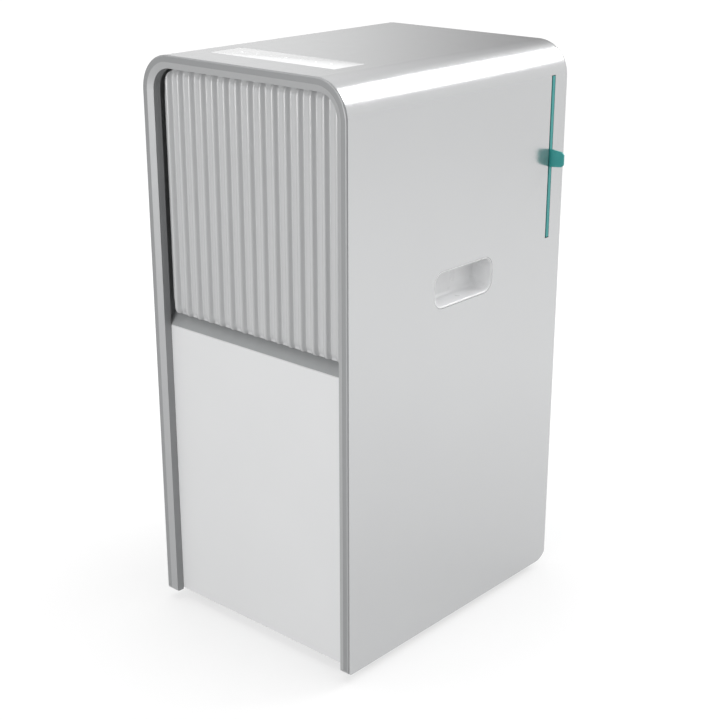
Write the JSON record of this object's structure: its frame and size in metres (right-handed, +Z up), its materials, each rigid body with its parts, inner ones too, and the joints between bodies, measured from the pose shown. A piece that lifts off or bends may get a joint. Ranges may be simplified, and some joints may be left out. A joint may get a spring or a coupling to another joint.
{
  "type": "dehumidifier",
  "caption": "Tall compressor dehumidifier with a wrap-around cabinet, fluted outlet panel, side-loading filter, rear water tank and recessed swivel castors.",
  "frame": {"origin": "On the floor, under the middle of the unit's bounding box. The cabinet's own middle plane is at X = -10 mm, because the filter's pull tab stands 20 mm out of the right side only.", "axes": "+Z is up. The fluted front faces -Y, the water tank and air inlet face +Y, and the filter pulls out towards +X."},
  "size_m": [0.35, 0.42, 0.735],
  "materials": {
    "cabinet_gloss": "glossy silver-white moulded cabinet",
    "rim_silver": "satin silver moulding",
    "panel_white": "fine satin white moulding",
    "flute_white": "satin white fluted moulding",
    "frame_grey": "matt mid-grey moulding",
    "lens_white": "hard-coated touch lens",
    "dark_plastic": "dark moulded plastic",
    "board_green": "solder-masked circuit board",
    "rear_white": "fine-textured moulding",
    "filter_teal": "satin teal moulding",
    "mesh_white": "woven nylon mesh",
    "inner_grey": "unpolished moulding",
    "tank_plastic": "translucent-looking polypropylene",
    "zinc_steel": "zinc-plated sheet and wire",
    "fin_aluminium": "coated aluminium fins",
    "copper_tube": "drawn copper tube",
    "black_enamel": "black stoved enamel",
    "black_rubber": "moulded rubber",
    "motor_steel": "pressed steel motor case",
    "foam_cream": "closed-cell foam",
    "wheel_nylon": "moulded nylon"
  },
  "bodies": {
    "cabinet": {"outer_sleeve": "cabinet_gloss", "front_bezel": "rim_silver", "lower_front_panel": "panel_white", "fluted_panel": "flute_white", "outlet_frame": "frame_grey", "touch_lens": "lens_white", "control_housing": "dark_plastic", "display_board": "board_green", "handle_cup_right": "cabinet_gloss", "handle_cup_left": "cabinet_gloss", "rear_panel": "rear_white", "inlet_grille": "rear_white", "panel_screws": "zinc_steel", "cable_gland": "dark_plastic", "filter_guide": "inner_grey", "base_pan": "inner_grey", "middle_deck": "inner_grey", "coil_brackets": "zinc_steel", "drip_tray": "inner_grey", "drain_spigot": "inner_grey", "evaporator_fins": "fin_aluminium", "evaporator_tubes": "copper_tube", "condenser_fins": "fin_aluminium", "condenser_tubes": "copper_tube", "compressor": "black_enamel", "compressor_grommets": "black_rubber", "accumulator": "black_enamel", "discharge_pipe": "copper_tube", "suction_pipe": "copper_tube", "run_capacitor": "fin_aluminium", "control_box": "dark_plastic", "control_box_cover": "dark_plastic", "main_board": "board_green", "humidity_sensor": "inner_grey", "fan_shroud": "inner_grey", "motor_bracket": "zinc_steel", "fan_motor": "motor_steel", "tank_shelf": "inner_grey", "tank_rails": "inner_grey", "float_switch": "inner_grey", "castor_bushes": "zinc_steel"},
    "filter": {"filter_frame": "filter_teal", "filter_mesh": "mesh_white", "filter_pull_tab": "filter_teal"},
    "fan_rotor": {"fan_shaft": "zinc_steel", "fan_impeller": "inner_grey"},
    "tank": {"water_tank": "tank_plastic", "tank_lid": "tank_plastic"},
    "tank_bail": {"tank_handle": "inner_grey"},
    "float": {"tank_float": "foam_cream"},
    "plug": {"drain_plug": "black_rubber"},
    "fork_front_left": {"castor_fork_front_left": "zinc_steel"},
    "fork_front_right": {"castor_fork_front_right": "zinc_steel"},
    "fork_rear_left": {"castor_fork_rear_left": "zinc_steel"},
    "fork_rear_right": {"castor_fork_rear_right": "zinc_steel"},
    "wheel_front_left": {"castor_wheel_front_left": "wheel_nylon"},
    "wheel_front_right": {"castor_wheel_front_right": "wheel_nylon"},
    "wheel_rear_left": {"castor_wheel_rear_left": "wheel_nylon"},
    "wheel_rear_right": {"castor_wheel_rear_right": "wheel_nylon"}
  },
  "joints": [
    {"name": "filter_pull", "type": "slide", "parent": "cabinet", "child": "filter", "axis": [1, 0, 0], "range_m": [0, 0.31]},
    {"name": "fan_spin", "type": "hinge", "parent": "cabinet", "child": "fan_rotor", "pos_m": [-0.01, 0.06, 0.572], "axis": [0, 1, 0], "continuous": true},
    {"name": "tank_pull", "type": "slide", "parent": "cabinet", "child": "tank", "axis": [0, 1, 0], "range_m": [0, 0.18]},
    {"name": "bail_swing", "type": "hinge", "parent": "tank", "child": "tank_bail", "pos_m": [-0.01, 0.12, 0.2], "axis": [-1, 0, 0], "range_deg": [0, 72]},
    {"name": "float_rise", "type": "hinge", "parent": "tank", "child": "float", "pos_m": [0.06, 0.062, 0.174], "axis": [1, 0, 0], "range_deg": [0, 22]},
    {"name": "plug_pull", "type": "slide", "parent": "cabinet", "child": "plug", "axis": [0, 1, 0], "range_m": [0, 0.02]},
    {"name": "castor_front_left_swivel", "type": "hinge", "parent": "cabinet", "child": "fork_front_left", "pos_m": [-0.125, -0.15, 0.052], "axis": [0, 0, 1], "continuous": true},
    {"name": "castor_front_left_roll", "type": "hinge", "parent": "fork_front_left", "child": "wheel_front_left", "pos_m": [-0.125, -0.14, 0.018], "axis": [1, 0, 0], "continuous": true},
    {"name": "castor_front_right_swivel", "type": "hinge", "parent": "cabinet", "child": "fork_front_right", "pos_m": [0.105, -0.15, 0.052], "axis": [0, 0, 1], "continuous": true},
    {"name": "castor_front_right_roll", "type": "hinge", "parent": "fork_front_right", "child": "wheel_front_right", "pos_m": [0.105, -0.14, 0.018], "axis": [1, 0, 0], "continuous": true},
    {"name": "castor_rear_left_swivel", "type": "hinge", "parent": "cabinet", "child": "fork_rear_left", "pos_m": [-0.125, 0.15, 0.052], "axis": [0, 0, 1], "continuous": true},
    {"name": "castor_rear_left_roll", "type": "hinge", "parent": "fork_rear_left", "child": "wheel_rear_left", "pos_m": [-0.125, 0.16, 0.018], "axis": [1, 0, 0], "continuous": true},
    {"name": "castor_rear_right_swivel", "type": "hinge", "parent": "cabinet", "child": "fork_rear_right", "pos_m": [0.105, 0.15, 0.052], "axis": [0, 0, 1], "continuous": true},
    {"name": "castor_rear_right_roll", "type": "hinge", "parent": "fork_rear_right", "child": "wheel_rear_right", "pos_m": [0.105, 0.16, 0.018], "axis": [1, 0, 0], "continuous": true}
  ]
}
